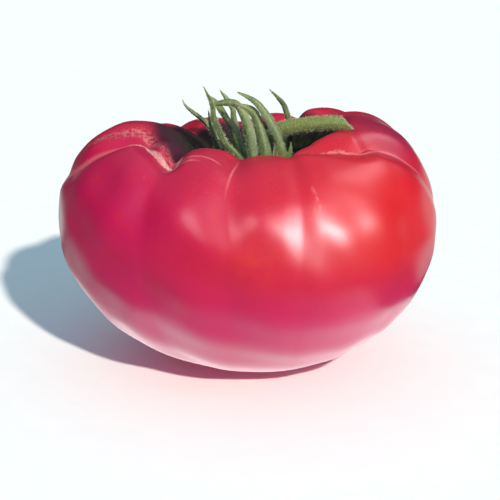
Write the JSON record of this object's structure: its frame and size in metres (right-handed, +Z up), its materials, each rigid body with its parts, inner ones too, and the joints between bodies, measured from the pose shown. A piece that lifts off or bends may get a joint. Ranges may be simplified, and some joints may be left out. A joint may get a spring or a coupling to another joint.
{
  "type": "beefsteak tomato",
  "caption": "Large flattened pink beefsteak tomato with ribbed shoulders, a deep corky hollow at the stem end, leaning sepals and a cut stem.",
  "frame": {"origin": "on the table under the middle of the fruit's bounding box", "axes": "+X across the wide way of the fruit, towards the side the stem leans to; -Y the front; +Z up, towards the stem end"},
  "size_m": [0.122, 0.1076, 0.0955],
  "materials": {
    "skin": "gloss",
    "calyx_green": "matte",
    "stem_green": "matte"
  },
  "bodies": {
    "root": {"fruit": "skin", "calyx": "calyx_green", "stem": "stem_green"}
  },
  "joints": []
}
